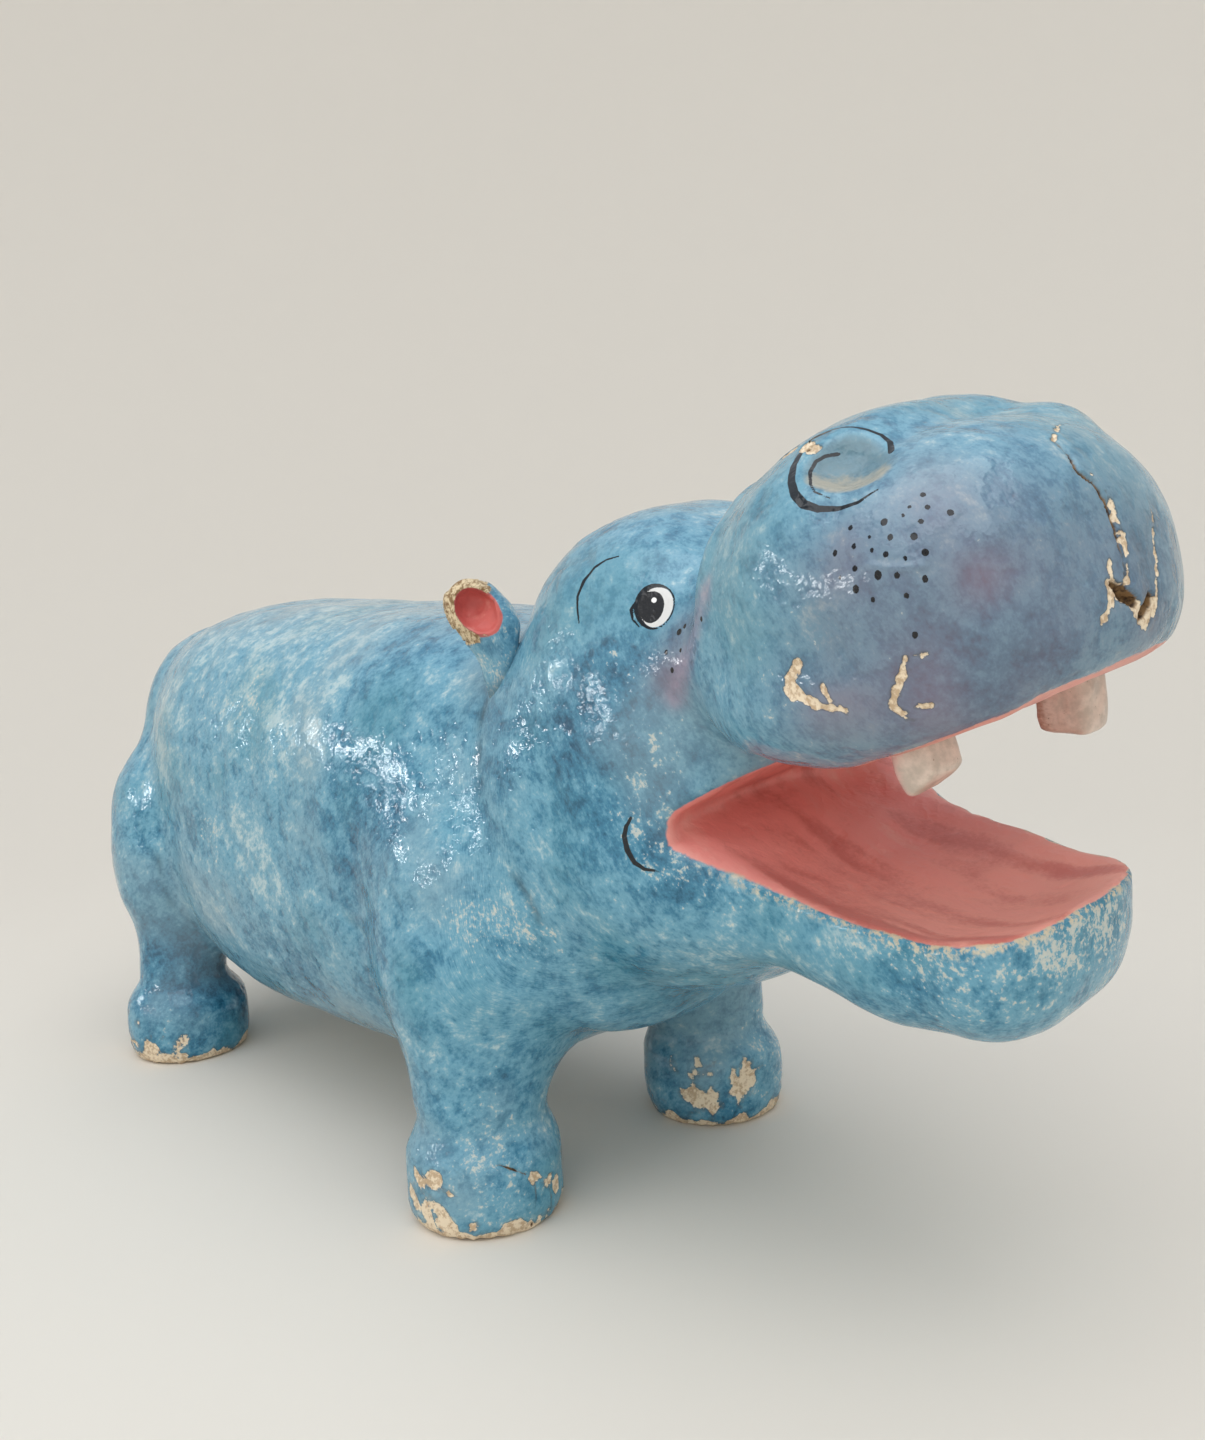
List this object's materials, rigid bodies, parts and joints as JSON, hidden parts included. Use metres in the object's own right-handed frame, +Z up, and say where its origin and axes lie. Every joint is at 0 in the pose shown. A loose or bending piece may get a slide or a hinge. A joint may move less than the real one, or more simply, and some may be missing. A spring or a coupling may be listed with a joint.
{
  "type": "papier-mache hippopotamus",
  "caption": "Standing papier-mache hippopotamus with its mouth wide open, on short legs with round club feet.",
  "frame": {"origin": "on the floor, under the middle of the animal's bounding box", "axes": "+X the way the animal faces, +Y its left side, +Z up"},
  "size_m": [0.7742, 0.2588, 0.4032],
  "materials": {
    "painted_paper": "sponged blue paint over pulped and layered paper, under a glossy crazed varnish"
  },
  "bodies": {
    "root": {"hippo": "painted_paper"}
  },
  "joints": []
}
